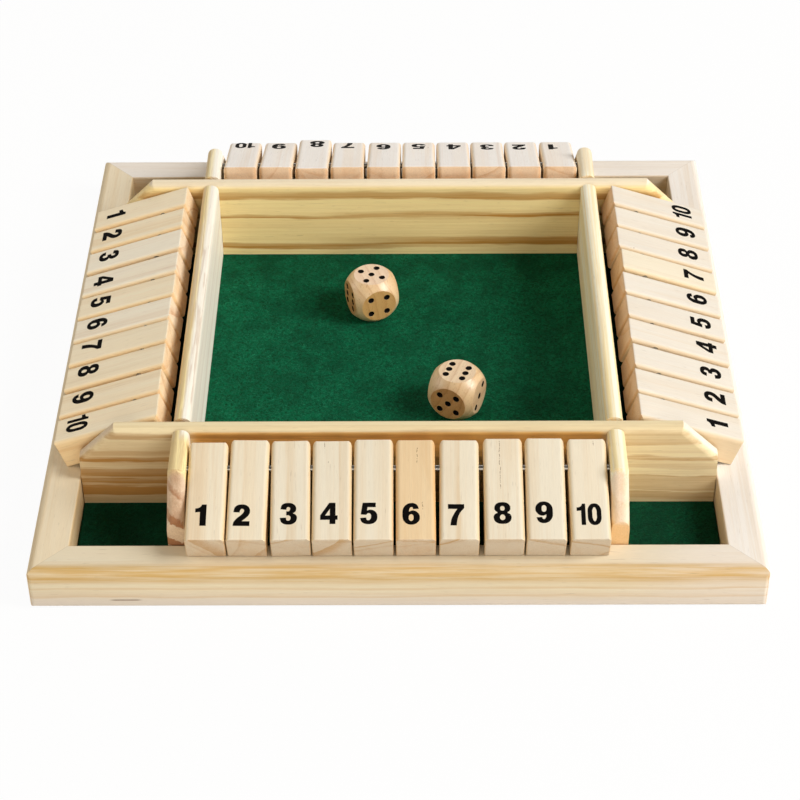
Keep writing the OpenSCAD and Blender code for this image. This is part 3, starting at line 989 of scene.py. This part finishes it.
def felt_material():
    m, net, shader, place = material("green_felt")
    mm = net.vec("MULTIPLY", place, (1 / MM, 1 / MM, 1 / MM))

    # Short hairs that lie in several directions
    bent = net.vec("SUBTRACT", net.noise(mm, 0.5, 2, out="Color"), (0.5, 0.5, 0.5))
    bent = net.vec("ADD", mm, net.vec("MULTIPLY", bent, (3, 3, 0)))
    layers = []
    for k in range(HAIR_LAYERS):
        n = net.node("Mapping", vector_type="TEXTURE")
        net.put(n.inputs["Vector"], bent)
        n.inputs["Rotation"].default_value = (0, 0, math.radians(FIRST_HAIR_TURN + HAIR_TURN * k))
        n.inputs["Location"].default_value = (HAIR_STEP[0] * k, HAIR_STEP[1] * k, 0)
        n.inputs["Scale"].default_value = HAIR_SIZE
        layers.append(net.span(net.noise(n.outputs[0], 1, 1), 0.6, 0.72))
    hairs = net.most(layers)

    # Blotchy, with painted shade towards the back board and painted shade in the pockets
    # outside the frame of boards
    blotch = net.noise(mm, 0.12, 4, 0.6)
    nap = net.noise(mm, 1.1, 4, 0.7)
    color = net.mix(net.span(nap, 0.3, 0.68), NAP_DARK, NAP_LIGHT)
    color = net.mix(net.times(hairs, 0.5), color, HAIR_COLOR)
    across, back, _ = net.split(mm)
    # Painted shade of the back board on the felt
    far = net.span(back, *BACK_SHADE, 0, 0.3)
    # Random blotches plus that painted shade darken it towards the dim green
    blotch_and_shade = net.math("ADD", net.span(blotch, 0.38, 0.64, 0, 0.4), far)
    color = net.mix(blotch_and_shade, color, BLOTCH_AND_SHADE_FELT)
    # Painted shade in the pockets outside the frame of boards
    outside = net.most((net.size(across), net.size(back)))
    color = net.mix(net.span(outside, *PAST_BOARDS, 0, 0.66), color, POCKET_SHADE_FELT)
    net.put(shader.inputs["Base Color"], color)
    net.put(shader.inputs["Roughness"], net.span(nap, 0, 1, 0.85, 1))
    height = net.math("MULTIPLY_ADD", hairs, 0.6, nap)
    net.put(shader.inputs["Normal"], net.bump(height, 0.00035, 0.9))
    shader.inputs["Specular IOR Level"].default_value = 0.1
    shader.inputs["Sheen Weight"].default_value = 0.05
    shader.inputs["Sheen Roughness"].default_value = 0.5
    shader.inputs["Sheen Tint"].default_value = srgb(90, 190, 140)
    return m


def add_felt():
    sheet = add_object("felt_sheet", felt_mesh())
    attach(sheet, "root")
    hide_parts("felt")
    sheet.data.materials.append(felt_material())


# ---------------------------------------------------------------- dice

# Seed of the grain, and painted light and shade on the faces up and down, front and back,
# left and right, as colour multipliers
DIE_LOOKS = {
    "die_1": ((37.0, 5.0, 11.0), (0.98, 1.02, 1.2), (0.78, 0.65, 0.42), (0.76, 0.56, 0.36)),
    "die_2": ((3.0, 61.0, -20.0), (0.94, 1, 1.1), (1.1, 0.8, 0.62), (0.98, 0.95, 1.02)),
}
BEECH_PITH, BEECH_RING_W = (-22.0, -9.0), 3.4
BEECH_RING = [(0, 0.2), (0.1, 0.05), (0.7, 0.4), (0.93, 1), (1, 0.2)]
BEECH_PALE, BEECH_LATE = srgb(240, 206, 160), srgb(200, 142, 84)
BEECH_FLECK = srgb(160, 100, 56)

# Places of a face's pips, in steps from its middle
CORNERS = [(-1, -1), (1, 1), (-1, 1), (1, -1)]
PIPS = {
    1: [(0, 0)],
    2: CORNERS[:2],
    3: [(0, 0)] + CORNERS[:2],
    4: CORNERS,
    5: [(0, 0)] + CORNERS,
    6: CORNERS + [(-1, 0), (1, 0)],
}
PAINT_T, PIP_RINGS, PIP_SIDES = 0.03, 5, 32


def beech(name, seed, *face_light_tints):
    """Turned beech, whose flat faces carry painted light and shade, a colour for each pair of
    faces.
    """
    m, net, shader, place = material("beech_" + name)
    at = die_frame(name)
    seeded = net.vec("ADD", in_piece(net, place, at), seed)
    x, _, z = net.split(seeded)
    from_pith = net.join(net.math("ADD", x, -BEECH_PITH[0]), 0, net.math("ADD", z, -BEECH_PITH[1]))
    rings = net.math("DIVIDE", net.vec("LENGTH", from_pith), BEECH_RING_W)
    wander = net.grain(seeded, (0.08, 0.03, 0.08))
    phase = net.math("FRACT", net.math("MULTIPLY_ADD", wander, 1.6, rings))
    ring = net.ramp(phase, BEECH_RING)
    thread = net.grain(seeded, (2.2, 0.14, 2.2), 3, 0.6)
    fleck = net.span(net.grain(seeded, (4, 0.9, 1.2), 1), 0.62, 0.72)
    late = net.sway(net.times(ring, 0.4), thread, 0.5, clamp=True)
    color = net.mix(late, BEECH_PALE, BEECH_LATE)
    color = net.mix(net.times(fleck, 0.35), color, BEECH_FLECK)
    normal = net.node("TexCoord").outputs["Normal"]
    turned = at.to_3x3()
    # Painted light and shade: each pair of flat faces gets its own colour by how it faces the
    # light
    for axis, tint in zip(((0, 0, 1), (0, 1, 0), (1, 0, 0)), face_light_tints):
        facing = net.size(net.vec("DOT_PRODUCT", normal, turned @ Vector(axis)))
        color = net.mix(net.span(facing, 0.7, 0.99), color, net.tint(color, (*tint, 1)))
    net.put(shader.inputs["Base Color"], color)
    net.put(shader.inputs["Roughness"], net.span(thread, 0.2, 0.8, 0.3, 0.45))
    net.put(shader.inputs["Normal"], net.bump(thread, 0.00003, 0.5))
    shader.inputs["Coat Weight"].default_value = 0.5
    shader.inputs["Coat Roughness"].default_value = 0.34
    return m


def paint_material():
    m, net, shader, place = material("pip_paint")
    spots = net.noise(place, 2600, 3, 0.6)
    net.put(shader.inputs["Base Color"], net.mix(spots, srgb(6, 5, 4), srgb(20, 14, 11)))
    net.put(shader.inputs["Roughness"], net.span(spots, 0.2, 0.8, 0.5, 0.8))
    shader.inputs["Specular IOR Level"].default_value = 0.08
    return m


def paint_pip(work, at, radius, rim):
    """A coat of paint in a round hollow, about the middle of its ball."""
    turns = [2 * math.pi * i / PIP_SIDES for i in range(PIP_SIDES)]
    rings = []
    for j in range(1, PIP_RINGS + 1):
        a = rim * j / PIP_RINGS
        out, down = radius * math.sin(a), -radius * math.cos(a)
        spots = [Vector((out * math.cos(t), out * math.sin(t), down)) for t in turns]
        rings.append([work.verts.new((at @ spot) * MM) for spot in spots])
    bottom = work.verts.new((at @ Vector((0, 0, -radius))) * MM)
    for i in range(PIP_SIDES):
        work.faces.new((bottom, rings[0][i - 1], rings[0][i]))
        for inner, outer in zip(rings, rings[1:]):
            work.faces.new((inner[i - 1], outer[i - 1], outer[i], inner[i]))


def add_dice():
    paint = paint_material()
    ball = (PIP_R**2 + PIP_DEPTH**2) / (2 * PIP_DEPTH)
    up = DIE_W / 2 + ball - PIP_DEPTH
    radius = ball - PAINT_T
    rim = math.acos((ball - PIP_DEPTH) / radius)
    # Each turn brings its face to the top, so its inverse takes the top there
    turns = [turn(0, "X"), turn(180, "X"), turn(-90, "X"), turn(90, "X"),
             turn(90, "Y"), turn(-90, "Y")]
    for name, (_, _, values) in DICE.items():
        dress(name, beech(name, *DIE_LOOKS[name]))
        work = bmesh.new()
        for k, (face, value) in enumerate(zip(turns, values)):
            # The pips on the left and right faces stand a quarter turn round
            upright = turn(0 if k < 4 else 90, "Z")
            for px, py in PIPS[value]:
                on_face = upright @ shift(px * PIP_OUT, py * PIP_OUT, up)
                paint_pip(work, die_frame(name) @ face.inverted() @ on_face, radius, rim)
        mesh = mesh_from(work, name + "_pips")
        mesh.materials.append(paint)
        obj = add_object(name + "_pips", mesh)
        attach(obj, name)


# ---------------------------------------------------------------- the rest


def add_rods():
    m, net, shader, place = material("rod_steel")
    scratch = net.grain(place, (900, 900, 900), 3, 0.7)
    color = net.mix(scratch, srgb(140, 136, 130), srgb(178, 174, 168))
    net.put(shader.inputs["Base Color"], color)
    net.put(shader.inputs["Roughness"], net.span(scratch, 0.2, 0.8, 0.2, 0.42))
    net.put(shader.inputs["Normal"], net.bump(scratch, 0.00001, 0.4))
    shader.inputs["Metallic"].default_value = 1
    for side in SIDES:
        dress(side + "_rod", m)


def add_panel():
    m = pine("plywood", turn(90, "Z"), srgb(224, 196, 152), srgb(178, 134, 86),
             (9.0, 80.0, 31.0), (30, 0, -160), ring_width=14, ring_depth=0.5,
             lean=(0.02, 0, 0.05), foot_tint=(0.8, 0.68, 0.56))
    dress("base_panel", m)


add_camera()
add_world()
for lamp in LAMPS:
    add_lamp(*lamp)
add_floor()
add_rails()
add_boards()
add_tiles()
add_felt()
add_dice()
add_rods()
add_panel()
bpy.context.scene.view_settings.view_transform = "Standard"
